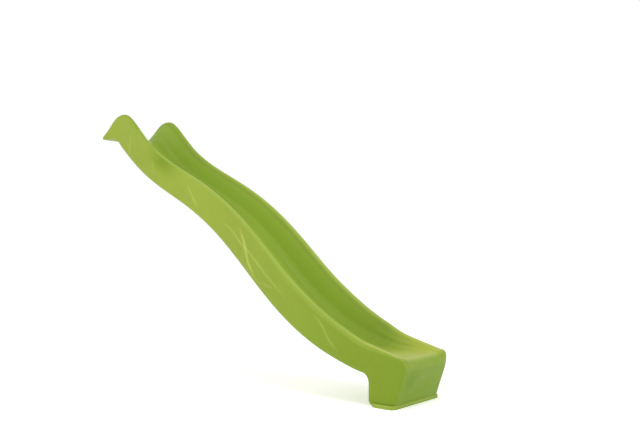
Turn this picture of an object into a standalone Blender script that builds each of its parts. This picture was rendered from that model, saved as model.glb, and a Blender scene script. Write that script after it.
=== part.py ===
"""A garden wave slide for a raised platform: one hollow double-walled moulding and its fittings.

The slide hooks over a platform edge with a flat lip and stands on the ground on a moulded foot.
Metres, +Z up. +X points down the slide, +Y to the rider's left. The origin is on the lip's
underside, where it lies on the platform, midway along the line of its screws.
"""
from math import copysign, cos, hypot, pi, radians, sin, tan

import bmesh
import bpy
from mathutils import Matrix, Vector

# Overall sizes
PLATFORM_HEIGHT = 1.500     # ground to the underside of the lip
HALF_WIDTH = 0.200          # middle of the bed to the outside of a side wall's rim
SKIN = 0.003                # wall of the moulding
GAP = 0.0003                # between faces that touch
EDGE = 0.0008               # broken edges of the small fittings

# The bed, along its middle from the lip's back edge: how far, and how steep there. The runs
# below the lip are stretched alike, so that the bed ends at the mouth's height.
MOUTH_HEIGHT = 0.2267       # the end of the bed above the ground
LIP_SEAT = 0.077            # the lip's flat underside, which lies on the platform
LIP_BACK = 0.0445           # from the line of the lip's screws to its back edge
LIP_THICKNESS = 0.013
LIP_LEVEL = 0.098           # the bed is level as far as this
CREST_RUN = 0.144           # then it turns down over the crest
HUMP_RUN = 0.630            # eases over the hump
STEEP_RUN = 0.830           # drops to its steepest
LEVELLING_RUN = 0.770       # flattens
RUN_OUT_START = 0.200       # turns level
RUN_OUT = 0.145             # and runs out to the mouth
CREST_SLOPE = 40.5
HUMP_SLOPE = 26.0
STEEP_SLOPE = 42.0
LEVELLING_SLOPE = 15.5
RUN_OUT_SLOPE = 1.0

# Height of the rims above the bed, square to it
EAR_FOOT = 0.003            # at the lip's back edge
EAR_RISE = 0.077            # up the ears' straight back edges, to the end of the level lip
EAR_PLACE = 0.197           # how far down the bed the ears are tallest
EAR_HEIGHT = 0.167
SHOULDER_WALL = 0.145       # halfway from the crest to the hump
HUMP_WALL = 0.140
STEEP_WALL = 0.157
LOWER_WALL = 0.147          # halfway down to where the bed flattens
LEVELLING_WALL = 0.104
RUN_OUT_WALL = 0.053
MOUTH_WALL = 0.016

# Depth of the hollow floor under the bed, square to it
CREST_FLOOR = 0.050
STEEP_FLOOR = 0.046
LEVELLING_FLOOR = 0.065
RUN_OUT_FLOOR = 0.090

# Cross-section
DRAFT = 4.0                 # degrees that the outside of a wall leans in
FOOT_DRAFT = 1.75           # and down by the foot
DRAFT_DEPTH = 0.200         # below the rim, where it stops leaning
RIM_WIDTH = 0.049           # from the outside to the foot of the rim's inner slope
RIM_DROP = 0.036            # height of the rim's inner slope
RIM_EDGE = 0.012            # rounding of the rim's outer edge
WALL_LEAN = 0.006           # how far the inside of a wall leans out
COVE = 0.045                # rounding between the bed and a wall
MOUTH_COVE = 0.110          # and at the mouth, where the bed is nearly a shallow bowl
BELLY_CORNER = 0.020        # rounding under the outside edge
CORNER_SHARE = 0.4          # of the floor's depth, where that is less
DROP_SHARE = 0.36           # of a low wall's height that the rim's inner slope takes
EDGE_SHARE = 0.20           # that the rim's outer rounding takes
COVE_SHARE = 0.45           # and that the cove takes
SIDE_SHARES = (0.12, 0.28)  # of the outside's height below the bed, where it has more points
CHAMFER_SHARE = 0.3         # of a corner's rounding, at the point halfway round it
HOLLOW_RIM_DROP = 0.1       # of the rim's drop, at the middle of the hollow rim
HOLLOW_EDGE_DROP = 0.6      # of the outer rounding's drop, at the hollow rim's edge
# The rim's inner slope and its outer edge, as shares of their width and of their height
RIM_SLOPE = ((1.0, 1.0), (0.84, 0.45), (0.63, 0.12), (0.39, 0.0))
RIM_ROUND = ((0.65, 0.12), (0.12, 0.62))

# Foot
FOOT_LENGTH = 0.163         # from its back to the end of the bed
FACE_LEAN = 19.0            # the front leans forward, in degrees
NOSE = 0.058                # rounding over the mouth's edge
CHEEK = 0.020               # rounding of the front's upright edges
MOUTH_CORNER = 0.062        # rounding of the front's top corners
RIM_SINK = 0.62             # share of the rims' height that is lost over the nose
FOOT_FILLET = 0.045         # between the belly and the foot's back
HEEL = 0.024
FOOT_CORNER = 0.018         # rounding of the foot's back edges
FAN_CURVE = 1.35            # over 1, the fanned sections lie closer at the top
BASE_LIFT = 0.002           # the hollow foot ends this far above the underside of the base plate
FLANGE_HALF_WIDTH = 0.205
FLANGE_THICKNESS = 0.018
FLANGE_REACH = 0.008        # in front of the foot's front
FLANGE_CORNER = 0.028
FLANGE_EDGE = 0.005         # rounding of its top edge
FACE_DISH_DEPTH = 0.004     # the shallow dish in the front
FACE_DISH_SHARE = 0.50      # of the front's width and height
FACE_DISH_PLACE = 0.58      # of the front's height
FACE_DISH_SLOPE = 0.16      # of the front's width, that the dish's sides take

# Cone-shaped pockets in the belly, which weld the lower skin to the upper one
POCKET_RADIUS = 0.018       # at its closed end
POCKET_FLARE = 0.010        # wider at its mouth
POCKET_ROWS = 7
POCKET_START = 0.410        # of the first row, beyond the crest
POCKET_MARGIN = 0.200       # from the last row to where the foot begins
POCKET_SPREAD = 0.085       # from the middle of the belly

# Fixing screws in the lip
SCREW_CLEARANCE = 0.0025    # from the outer washers to where the bed curves up
SCREW_RADIUS = 0.003
SCREW_LENGTH = 0.045
SCREW_HEAD_RADIUS = 0.0065
SCREW_HEAD_HEIGHT = 0.0035
SCREW_HOLE_RADIUS = 0.0038
WASHER_RADIUS = 0.0105
WASHER_THICKNESS = 0.002
CAP_RADIUS = 0.0095
CAP_HEIGHT = 0.0058
CAP_WALL = 0.0015

# Water inlet under the crest: spray nozzle in the bed, seal and nut in a pocket, hose tail below
INLET_PLACE = 0.492
INLET_POCKET_RADIUS = 0.027
NOZZLE_RADIUS = 0.016
NOZZLE_THICKNESS = 0.002
NOZZLE_STEM_RADIUS = 0.008
NOZZLE_STEM_LENGTH = 0.030
NOZZLE_BORE_RADIUS = 0.004
SEAL_RADIUS = 0.0145
SEAL_THICKNESS = 0.003
NUT_RADIUS = 0.0155
NUT_THICKNESS = 0.008
TAIL_WALL = 0.003
TAIL_LENGTH = 0.052
TAIL_SPIGOT_RADIUS = 0.0085
TAIL_SPIGOT_LENGTH = 0.016  # from the groove's upper slope to the end
TAIL_GROOVE = 0.0018        # depth of the groove that a hose's washer grips
TAIL_CHAMFER = 0.002

# Plugs that close the moulding's two blow holes, in the back of the foot
PLUG_SPREAD = 0.095
PLUG_RADIUS = 0.009
PLUG_HEAD_RADIUS = 0.013
PLUG_HEAD_THICKNESS = 0.002
PLUG_LENGTH = 0.012
PLUG_WALL = 0.002

# Drain holes in the base plate
DRAIN_RADIUS = 0.005
DRAIN_SPREAD = 0.120

# Fineness of the faceted model
STEP = 0.004                # along the bed, for working out its curve
STATION_PITCH = 0.075       # of the cross-sections on the gentle curves
CREST_PITCH = 0.021         # and over the crest
ARC_STEPS = 4
ROUND_SIDES = 24
POCKET_SIDES = 12

GREEN = (0.335, 0.430, 0.060)
DARK_GREEN = (0.105, 0.190, 0.040)
ZINC = (0.62, 0.63, 0.64)
BLACK = (0.020, 0.020, 0.022)
BRASS = (0.72, 0.52, 0.22)

GROUND = -PLATFORM_HEIGHT
WALL_FOOT = HALF_WIDTH - RIM_WIDTH - WALL_LEAN
SCREW_PITCH = (WALL_FOOT - COVE - WASHER_RADIUS - SCREW_CLEARANCE) / 1.5
LIP_SCREWS = (("outer_right", -1.5 * SCREW_PITCH), ("inner_right", -0.5 * SCREW_PITCH),
              ("inner_left", 0.5 * SCREW_PITCH), ("outer_left", 1.5 * SCREW_PITCH))
RUNS = ((CREST_RUN, CREST_SLOPE), (HUMP_RUN, HUMP_SLOPE), (STEEP_RUN, STEEP_SLOPE),
        (LEVELLING_RUN, LEVELLING_SLOPE), (RUN_OUT_START, RUN_OUT_SLOPE),
        (RUN_OUT, RUN_OUT_SLOPE))


def smooth(keys, place):
    """Read a smooth curve through keys, which overshoots none of them and ends straight."""
    if place <= keys[0][0]:
        return keys[0][1]
    if place >= keys[-1][0]:
        return keys[-1][1]
    spans = [b[0] - a[0] for a, b in zip(keys, keys[1:])]
    rises = [(b[1] - a[1]) / span for a, b, span in zip(keys, keys[1:], spans)]
    tangents = [rises[0]] + [0.0] * (len(keys) - 2) + [rises[-1]]
    for i in range(1, len(keys) - 1):
        if rises[i - 1] * rises[i] > 0:
            before = 2 * spans[i] + spans[i - 1]
            after = spans[i] + 2 * spans[i - 1]
            tangents[i] = (before + after) / (before / rises[i - 1] + after / rises[i])
    i = max(j for j in range(len(spans)) if place >= keys[j][0])
    t = (place - keys[i][0]) / spans[i]
    return (keys[i][1] * (1 + 2 * t) * (1 - t) ** 2 + tangents[i] * spans[i] * t * (1 - t) ** 2
            + keys[i + 1][1] * t * t * (3 - 2 * t) + tangents[i + 1] * spans[i] * t * t * (t - 1))


def bed_slopes(stretch):
    """Slopes at the ends of the runs, when all below the lip are stretched by a factor."""
    place = LIP_LEVEL
    slopes = [(0.0, 0.0), (place, 0.0)]
    for run, slope in RUNS:
        place += run * stretch
        slopes.append((place, slope))
    return slopes


def bed_curve(slopes):
    """Points down the middle of the bed, as (x, z), a STEP apart."""
    x = -LIP_BACK
    z = LIP_THICKNESS
    points = [(x, z)]
    for i in range(round(slopes[-1][0] / STEP)):
        slope = radians(smooth(slopes, (i + 0.5) * STEP))
        x += STEP * cos(slope)
        z -= STEP * sin(slope)
        points.append((x, z))
    return points


NOMINAL_DROP = LIP_THICKNESS - bed_curve(bed_slopes(1.0))[-1][1]
STRETCH = (PLATFORM_HEIGHT + LIP_THICKNESS - MOUTH_HEIGHT) / NOMINAL_DROP
SLOPES = bed_slopes(STRETCH)
BED = bed_curve(SLOPES)
LIP_END, CREST, HUMP, STEEP, LEVELLING, RUN_OUT_BEGIN, MOUTH = [p for p, slope in SLOPES[1:]]
WALLS = ((0.0, EAR_FOOT), (LIP_END, EAR_FOOT + EAR_RISE), (EAR_PLACE, EAR_HEIGHT),
         ((CREST + HUMP) / 2, SHOULDER_WALL), (HUMP, HUMP_WALL), (STEEP, STEEP_WALL),
         ((STEEP + LEVELLING) / 2, LOWER_WALL), (LEVELLING, LEVELLING_WALL),
         (RUN_OUT_BEGIN, RUN_OUT_WALL), (MOUTH, MOUTH_WALL))
FLOORS = ((0.0, LIP_THICKNESS), (LIP_SEAT, LIP_THICKNESS), (CREST, CREST_FLOOR),
          (HUMP, STEEP_FLOOR), (STEEP, STEEP_FLOOR), (LEVELLING, LEVELLING_FLOOR),
          (RUN_OUT_BEGIN, RUN_OUT_FLOOR))
DRAFTS = ((LEVELLING, DRAFT), (RUN_OUT_BEGIN, FOOT_DRAFT))
COVES = ((RUN_OUT_BEGIN, COVE), (MOUTH, MOUTH_COVE))


def bed_point(place):
    """The bed's middle at a distance from the lip's back edge."""
    share = min(max(place / STEP, 0.0), len(BED) - 1.001)
    i = int(share)
    t = share - i
    return Vector((BED[i][0] * (1 - t) + BED[i + 1][0] * t, 0.0,
                   BED[i][1] * (1 - t) + BED[i + 1][1] * t))


def lean_to(angle):
    """Unit vector in the side view, leaning forward from upright by an angle in degrees."""
    return Vector((sin(radians(angle)), 0.0, cos(radians(angle))))


def bed_normal(place):
    return lean_to(smooth(SLOPES, place))


def belly_point(place):
    return bed_point(place) - bed_normal(place) * smooth(FLOORS, place)


BED_END = bed_point(MOUTH)
FOOT_BACK = BED_END.x - FOOT_LENGTH
FOOT_BASE = GROUND + BASE_LIFT
FACE_BOTTOM = BED_END.x - (BED_END.z - FOOT_BASE) * tan(radians(FACE_LEAN))
FACE_FRONT = FACE_BOTTOM + NOSE / cos(radians(FACE_LEAN))


def foot_start():
    """How far down the bed the belly meets the fillet at the foot's back."""
    place = LEVELLING
    while belly_point(place).x < FOOT_BACK - FOOT_FILLET * (1 - sin(radians(LEVELLING_SLOPE))):
        place += STEP
    return place


FOOT_START = foot_start()
# The foot's flat back, from its heel up to its fillet
HEEL_TOP = FOOT_BASE + HEEL
FILLET_LEVEL = belly_point(FOOT_START).z - FOOT_FILLET * cos(radians(smooth(SLOPES, FOOT_START)))
BACK_MIDDLE = (HEEL_TOP + FILLET_LEVEL) / 2
FIRST_POCKETS = CREST + POCKET_START
POCKET_PITCH = (FOOT_START - POCKET_MARGIN - FIRST_POCKETS) / (POCKET_ROWS - 1)


class Station:
    """A cross-section of the slide: its bed, rim and belly in the side view."""

    def __init__(self, place, lean, belly, inward, corner):
        self.bed = bed_point(place)
        self.up = lean_to(lean)
        self.wall = smooth(WALLS, place)
        self.drop = min(RIM_DROP, DROP_SHARE * self.wall)
        self.edge = min(RIM_EDGE, EDGE_SHARE * self.wall)
        self.rise = min(COVE, COVE_SHARE * self.wall)
        self.cove = smooth(COVES, place)
        self.draft = tan(radians(smooth(DRAFTS, place)))
        self.belly = belly
        self.inward = inward
        self.corner = corner

    def height(self, height):
        """A point in the side view at a height above the bed."""
        return self.bed + self.up * height

    def outside(self, depth):
        """Half width of the outside at a depth below the rim."""
        return HALF_WIDTH - self.draft * min(depth, DRAFT_DEPTH)

    def side_point(self, share):
        """The outside, and the side view's point, at a share of the way from bed to corner."""
        low = self.belly + self.inward * self.corner
        point = self.bed.lerp(low, share)
        return self.outside(self.wall + (point - self.bed).length), point

    def half(self):
        """Points of half the section as (y, point in the side view), from bed to belly."""
        wall = self.wall
        points = [(0.0, self.bed)]
        for i in range(ARC_STEPS):
            turn = i / (ARC_STEPS - 1) * pi / 2
            points.append((WALL_FOOT - self.cove * (1 - sin(turn)),
                           self.height(self.rise * (1 - cos(turn)))))
        for across, down in RIM_SLOPE:
            points.append((HALF_WIDTH - RIM_WIDTH * across, self.height(wall - self.drop * down)))
        for across, down in RIM_ROUND:
            points.append((HALF_WIDTH - RIM_EDGE * across, self.height(wall - self.edge * down)))
        for share in (0.0, *SIDE_SHARES, 1.0):
            points.append(self.side_point(share))
        edge_y = points[-1][0]
        cut = CHAMFER_SHARE * self.corner
        points.append((edge_y - cut, self.belly + self.inward * cut))
        points.append((edge_y - self.corner, self.belly))
        points.append((0.0, self.belly))
        return points

    def hollow_half(self):
        """Points of half the hollow's section, a skin's thickness inside the outer one."""
        wall = self.wall
        points = [(0.0, self.height(-SKIN))]
        for i in range(ARC_STEPS):
            turn = i / (ARC_STEPS - 1) * pi / 2
            points.append((WALL_FOOT - self.cove + (self.cove + SKIN) * sin(turn),
                           self.height(self.rise - (self.rise + SKIN) * cos(turn))))
        points.append((WALL_FOOT + WALL_LEAN + SKIN, self.height(wall - self.drop)))
        points.append((HALF_WIDTH - RIM_WIDTH / 2,
                       self.height(wall - HOLLOW_RIM_DROP * self.drop - SKIN)))
        points.append((HALF_WIDTH - CHAMFER_SHARE * RIM_EDGE - SKIN,
                       self.height(wall - HOLLOW_EDGE_DROP * self.edge - SKIN)))
        for share in (0.0, SIDE_SHARES[-1], 1.0):
            y, point = self.side_point(share)
            points.append((y - SKIN, point))
        points.append((y - self.corner, self.belly + self.inward * SKIN))
        points.append((0.0, self.belly + self.inward * SKIN))
        return points


def ring_of(half):
    """The whole section as a ring of points, from the points of its left half."""
    left = [Vector((p.x, y, p.z)) for y, p in half]
    right = [Vector((p.x, -y, p.z)) for y, p in half[-2:0:-1]]
    return left + right


def chute_stations():
    """Sections square to the bed, from the lip to where the foot begins."""
    places = [0.0, LIP_BACK, LIP_SEAT, LIP_END]
    while places[-1] + CREST_PITCH < CREST + 2 * CREST_PITCH:
        places.append(places[-1] + CREST_PITCH)
    count = round((FOOT_START - places[-1]) / STATION_PITCH)
    pitch = (FOOT_START - places[-1]) / count
    places += [places[-1] + pitch * (i + 1) for i in range(count)]
    stations = []
    for place in places:
        slope = smooth(SLOPES, place)
        corner = min(BELLY_CORNER, CORNER_SHARE * smooth(FLOORS, place))
        stations.append(Station(place, slope, belly_point(place), lean_to(slope), corner))
    return stations


def foot_outline():
    """The foot's outline in the side view, from the belly to the toe: (point, inward)."""
    slope = smooth(SLOPES, FOOT_START)
    centre = Vector((FOOT_BACK - FOOT_FILLET, 0.0, FILLET_LEVEL))
    outline = []
    for i in range(1, ARC_STEPS + 1):
        turn = radians((90 - slope) * (1 - i / ARC_STEPS))
        inward = Vector((cos(turn), 0.0, sin(turn)))
        outline.append((centre + inward * FOOT_FILLET, inward))
    outline.append((Vector((FOOT_BACK, 0.0, BACK_MIDDLE)), Vector((1.0, 0.0, 0.0))))
    for i in range(ARC_STEPS + 1):
        turn = i / ARC_STEPS * pi / 2
        inward = Vector((cos(turn), 0.0, sin(turn)))
        heel = Vector((FOOT_BACK + HEEL, 0.0, HEEL_TOP))
        outline.append((heel - inward * HEEL, inward))
    toe = Vector((FACE_BOTTOM, 0.0, FOOT_BASE))
    upright = Vector((0.0, 0.0, 1.0))
    outline.append(((outline[-1][0] + toe) / 2, upright))
    outline.append((toe, lean_to(FACE_LEAN)))
    return outline


def foot_stations():
    """Sections that fan out from the bed to the foot's back, heel and sole."""
    outline = foot_outline()
    stations = []
    slope = smooth(SLOPES, FOOT_START)
    for i, (point, inward) in enumerate(outline):
        share = ((i + 1) / len(outline)) ** FAN_CURVE
        place = FOOT_START + (MOUTH - FOOT_START) * share
        lean = slope + (FACE_LEAN - slope) * share
        stations.append(Station(place, lean, point, inward, FOOT_CORNER))
    return stations


def round_top(outline, radius):
    """Pull the top corners of a ring of (y, height) points in to a radius."""
    side = max(y for y, high in outline) - radius
    level = max(high for y, high in outline) - radius
    points = []
    for y, high in outline:
        across = abs(y) - side
        above = high - level
        beyond = min(across, above) > 0 and hypot(across, above) > radius
        if beyond:
            pull = radius / hypot(across, above)
            y = copysign(side + across * pull, y)
            high = level + above * pull
        points.append((y, high))
    return points


def nose_rings(ring, inset=0.0):
    """Rings that round the last section over into the leaning front, with its shallow dish.

    The rims sink nearly to the level of the bed on the way.
    """
    ahead = Vector((1 / cos(radians(FACE_LEAN)), 0.0, 0.0))
    up = lean_to(FACE_LEAN)
    bottom = Vector((FACE_BOTTOM, 0.0, FOOT_BASE))
    height = max((p - bottom).dot(up) for p in ring)
    mouth = (ring[0] - bottom).dot(up)
    nose = NOSE - inset
    cheek = CHEEK - inset
    rings = []
    for i in range(1, ARC_STEPS + 1):
        turn = i / ARC_STEPS * pi / 2
        done = 1 - cos(turn)
        outline = []
        for p in ring:
            high = (p - bottom).dot(up)
            high -= RIM_SINK * max(high - mouth, 0.0) * done
            outline.append((p.y * (1 - cheek * done / HALF_WIDTH), high * (1 - nose * done / height)))
        base = bottom + ahead * nose * sin(turn)
        outline = round_top(outline, (MOUTH_CORNER - inset) * done)
        rings.append([Vector((0.0, y, 0.0)) + base + up * high for y, high in outline])
    face = rings[-1]
    centre = face[len(face) // 2].lerp(face[0], FACE_DISH_PLACE)
    for share, depth in ((FACE_DISH_SHARE, 0.0), (FACE_DISH_SHARE - FACE_DISH_SLOPE, FACE_DISH_DEPTH)):
        rings.append([centre + (p - centre) * share - ahead * depth for p in face])
    return rings


def loft(name, rings):
    """A closed skin through rings of points."""
    bm = bmesh.new()
    rows = [[bm.verts.new(p) for p in ring] for ring in rings]
    for near, far in zip(rows, rows[1:]):
        for i in range(len(near)):
            j = (i + 1) % len(near)
            bm.faces.new((near[i], near[j], far[j], far[i]))
    bm.faces.new(list(reversed(rows[0])))
    bm.faces.new(rows[-1])
    bmesh.ops.recalc_face_normals(bm, faces=bm.faces[:])
    return add_mesh(name, bm)


def add_mesh(name, bm):
    mesh = bpy.data.meshes.new(name)
    bm.to_mesh(mesh)
    bm.free()
    return bpy.data.objects.new(name, mesh)


def finish(obj, material, collection, smooth_angle=35.0):
    """Give an object its material, smooth its round faces and put it in a collection."""
    obj.data.materials.append(material)
    obj.data.shade_smooth()
    obj.data.set_sharp_from_angle(angle=radians(smooth_angle))
    collection.objects.link(obj)
    return obj


def cutter(obj, collection):
    obj.hide_render = True
    obj.display_type = 'WIRE'
    collection.objects.link(obj)
    return obj


def boolean(target, tool, operation):
    modifier = target.modifiers.new(operation.lower() + "_" + tool.name, 'BOOLEAN')
    modifier.operation = operation
    modifier.solver = 'EXACT'
    modifier.object = tool


def frame_at(place, y=0.0):
    """A matrix with its origin on the bed and its Z axis square to the bed."""
    up = bed_normal(place)
    along = Vector((up.z, 0.0, -up.x))
    across = up.cross(along)
    axes = Matrix((along, across, up)).transposed().to_4x4()
    return Matrix.Translation(bed_point(place) + Vector((0.0, y, 0.0))) @ axes


def cones(name, parts, sides):
    """Separate cones in one mesh, each given as (frame, low z, high z, low radius, high radius)."""
    bm = bmesh.new()
    for frame, low, high, low_radius, high_radius in parts:
        place = frame @ Matrix.Translation((0.0, 0.0, (low + high) / 2))
        bmesh.ops.create_cone(bm, cap_ends=True, segments=sides, radius1=low_radius,
                              radius2=high_radius, depth=high - low, matrix=place)
    return add_mesh(name, bm)


def turned(name, profile, sides=ROUND_SIDES):
    """A solid or ring turned about Z from (radius, z) points, by a Screw modifier.

    The profile runs down its outer side and, for a ring, back up its inner side.
    """
    mesh = bpy.data.meshes.new(name)
    on_axis = profile[0][0] == 0.0
    edges = [(i, i + 1) for i in range(len(profile) - 1)]
    if not on_axis:
        edges.append((len(profile) - 1, 0))
    mesh.from_pydata([(r, 0.0, z) for r, z in profile], edges, [])
    obj = bpy.data.objects.new(name, mesh)
    screw = obj.modifiers.new("turn", 'SCREW')
    screw.axis = 'Z'
    screw.steps = sides
    screw.render_steps = sides
    screw.use_merge_vertices = True
    screw.merge_threshold = 0.00005
    return obj


def make_chute(material, collection, cutters):
    """The hollow moulding: outer skin, base plate, pockets, hollow and holes."""
    stations = chute_stations() + foot_stations()
    rings = [ring_of(station.half()) for station in stations]
    body = loft("chute_body", rings + nose_rings(rings[-1]))
    deep_enough = [s for s in stations if (s.belly - s.bed).length > 2 * LIP_THICKNESS]
    rings = [ring_of(station.hollow_half()) for station in deep_enough]
    hollow = cutter(loft("hollow", rings + nose_rings(rings[-1], SKIN)), cutters)

    pockets = []
    posts = []
    for row in range(POCKET_ROWS):
        place = FIRST_POCKETS + row * POCKET_PITCH
        floor = smooth(FLOORS, place)
        for side in (-1, 1):
            frame = frame_at(place, side * POCKET_SPREAD)
            mouth = floor + 2 * SKIN
            pockets.append((frame, -mouth, -2 * SKIN, POCKET_RADIUS + POCKET_FLARE, POCKET_RADIUS))
            posts.append((frame, -mouth, 2 * SKIN, POCKET_RADIUS + POCKET_FLARE + SKIN,
                          POCKET_RADIUS + SKIN))
    inlet = frame_at(INLET_PLACE)
    deep = smooth(FLOORS, INLET_PLACE) + 2 * SKIN
    flared = INLET_POCKET_RADIUS + POCKET_FLARE
    pockets.append((inlet, -deep, -2 * SKIN, flared, INLET_POCKET_RADIUS))
    posts.append((inlet, -deep, 2 * SKIN, flared + SKIN, INLET_POCKET_RADIUS + SKIN))
    boolean(hollow, cutter(cones("posts", posts, POCKET_SIDES), cutters), 'DIFFERENCE')

    boolean(body, make_base_plate(cutters), 'UNION')
    boolean(body, cutter(cones("pockets", pockets, POCKET_SIDES), cutters), 'DIFFERENCE')
    boolean(body, hollow, 'DIFFERENCE')

    holes = []
    for word, y in LIP_SCREWS:
        frame = Matrix.Translation((0.0, y, 0.0))
        holes.append((frame, -LIP_THICKNESS, 2 * LIP_THICKNESS, SCREW_HOLE_RADIUS, SCREW_HOLE_RADIUS))
    stem = NOZZLE_STEM_RADIUS + GAP
    holes.append((inlet, -3 * SKIN, -NOZZLE_THICKNESS, stem, stem))
    holes.append((inlet, -NOZZLE_THICKNESS - GAP, 2 * SKIN, NOZZLE_RADIUS + GAP, NOZZLE_RADIUS + GAP))
    for side in (-1, 1):
        frame = Matrix.Translation(((FOOT_BACK + FACE_BOTTOM) / 2, side * DRAIN_SPREAD, GROUND))
        holes.append((frame, -3 * SKIN, 4 * SKIN, DRAIN_RADIUS, DRAIN_RADIUS))
        frame = plug_frame(side)
        radius = PLUG_RADIUS + GAP
        holes.append((frame, -3 * SKIN, 3 * SKIN, radius, radius))
    boolean(body, cutter(cones("holes", holes, ROUND_SIDES), cutters), 'DIFFERENCE')
    return finish(body, material, collection)


def make_base_plate(cutters):
    """The flat plate round the foot's sole, with round corners and a rounded top edge."""
    back = FOOT_BACK + HEEL + FLANGE_CORNER
    front = FACE_FRONT + FLANGE_REACH - FLANGE_CORNER
    side = FLANGE_HALF_WIDTH - FLANGE_CORNER
    points = []
    for quarter, (x, y) in enumerate(((front, side), (back, side), (back, -side), (front, -side))):
        for i in range(ARC_STEPS + 1):
            turn = (quarter + i / ARC_STEPS) * pi / 2
            points.append((x + FLANGE_CORNER * cos(turn), y + FLANGE_CORNER * sin(turn)))
    bm = bmesh.new()
    low = [bm.verts.new((x, y, GROUND)) for x, y in points]
    base = bm.faces.new(low)
    raised = bmesh.ops.extrude_face_region(bm, geom=[base])
    top = [v for v in raised['geom'] if isinstance(v, bmesh.types.BMVert)]
    bmesh.ops.translate(bm, verts=top, vec=(0.0, 0.0, FLANGE_THICKNESS))
    bmesh.ops.recalc_face_normals(bm, faces=bm.faces[:])
    rims = [e for e in bm.edges if all(v in top for v in e.verts)]
    bmesh.ops.bevel(bm, geom=rims, offset=FLANGE_EDGE, segments=2, profile=0.5,
                    affect='EDGES')
    return cutter(add_mesh("base_plate", bm), cutters)


def plug_frame(side):
    """A frame at a blow hole, with Z pointing out of the foot's back."""
    place = Matrix.Translation((FOOT_BACK, side * PLUG_SPREAD, BACK_MIDDLE))
    return place @ Matrix.Rotation(-pi / 2, 4, 'Y')


def make_lip_fixing(word, y, zinc, cap_material, collection):
    """A screw, its washer and its snap-on cap, on one hole of the lip."""
    washer_low = LIP_THICKNESS + GAP
    washer_high = washer_low + WASHER_THICKNESS
    washer = turned("lip_washer_" + word, [
        (WASHER_RADIUS, washer_high), (WASHER_RADIUS, washer_low),
        (SCREW_HOLE_RADIUS, washer_low), (SCREW_HOLE_RADIUS, washer_high)])
    head_low = washer_high + GAP
    head_high = head_low + SCREW_HEAD_HEIGHT
    tip = head_low - SCREW_LENGTH
    screw = turned("lip_screw_" + word, [
        (0.0, head_high), (0.7 * SCREW_HEAD_RADIUS, head_high),
        (SCREW_HEAD_RADIUS, head_low + 0.4 * SCREW_HEAD_HEIGHT), (SCREW_HEAD_RADIUS, head_low),
        (SCREW_RADIUS, head_low), (SCREW_RADIUS, tip + 2 * SCREW_RADIUS), (0.0, tip)], 16)
    cap_low = washer_high + GAP
    cap_high = cap_low + CAP_HEIGHT
    bore = SCREW_HEAD_RADIUS + 2 * GAP
    ceiling = head_high + GAP
    cap = turned("lip_screw_cap_" + word, [
        (0.0, cap_high), (0.55 * CAP_RADIUS, cap_high - 0.06 * CAP_HEIGHT),
        (0.86 * CAP_RADIUS, cap_high - 0.28 * CAP_HEIGHT), (CAP_RADIUS, cap_low + 0.3 * CAP_HEIGHT),
        (CAP_RADIUS, cap_low), (bore, cap_low), (bore, ceiling - 0.3 * CAP_WALL),
        (bore - 0.5 * CAP_WALL, ceiling), (0.0, ceiling)])
    for obj, material in ((washer, zinc), (screw, zinc), (cap, cap_material)):
        obj.location = (0.0, y, 0.0)
        finish(obj, material, collection)


def make_inlet(nozzle_material, seal_material, nut_material, tail_material, collection,
               cutters):
    """Spray nozzle, seal, lock nut and hose tail, on one axis square to the bed."""
    frame = frame_at(INLET_PLACE)
    stem_end = -NOZZLE_THICKNESS - NOZZLE_STEM_LENGTH
    nozzle = turned("spray_nozzle", [
        (NOZZLE_RADIUS - EDGE, 0.0), (NOZZLE_RADIUS, -EDGE), (NOZZLE_RADIUS, -NOZZLE_THICKNESS),
        (NOZZLE_STEM_RADIUS, -NOZZLE_THICKNESS), (NOZZLE_STEM_RADIUS, stem_end),
        (NOZZLE_BORE_RADIUS, stem_end), (NOZZLE_BORE_RADIUS, 0.0)])
    seal_top = -2 * SKIN - GAP
    seal_low = seal_top - SEAL_THICKNESS
    bore = NOZZLE_STEM_RADIUS + GAP
    seal = turned("nozzle_seal", [(SEAL_RADIUS, seal_top), (SEAL_RADIUS, seal_low),
                                  (bore, seal_low), (bore, seal_top)])
    nut_top = seal_low - GAP
    nut_low = nut_top - NUT_THICKNESS
    level = Matrix.Identity(4)
    nut = cones("nozzle_nut", [(level, nut_low, nut_top, NUT_RADIUS, NUT_RADIUS)], 6)
    nut_bore = cones("nut_bore", [(frame, nut_low - GAP, nut_top + GAP, bore, bore)], ROUND_SIDES)
    boolean(nut, cutter(nut_bore, cutters), 'DIFFERENCE')
    tail_top = nut_low - GAP
    tail_low = tail_top - TAIL_LENGTH
    socket_floor = stem_end - GAP
    outer = bore + TAIL_WALL
    spigot = TAIL_SPIGOT_RADIUS
    shoulder = socket_floor - TAIL_WALL
    groove_top = tail_low + TAIL_SPIGOT_LENGTH
    groove_low = groove_top - TAIL_SPIGOT_LENGTH / 2
    tail = turned("hose_tail", [
        (outer, tail_top), (outer, shoulder), (spigot, shoulder - TAIL_CHAMFER),
        (spigot, groove_top), (spigot - TAIL_GROOVE, groove_top - TAIL_CHAMFER),
        (spigot - TAIL_GROOVE, groove_low + TAIL_CHAMFER), (spigot, groove_low),
        (spigot, tail_low + TAIL_CHAMFER), (spigot - TAIL_CHAMFER, tail_low),
        (NOZZLE_BORE_RADIUS, tail_low),
        (NOZZLE_BORE_RADIUS, socket_floor), (bore, socket_floor), (bore, tail_top)])
    pieces = ((nozzle, nozzle_material), (seal, seal_material), (nut, nut_material),
              (tail, tail_material))
    for obj, material in pieces:
        obj.matrix_world = frame
        finish(obj, material, collection)


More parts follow.
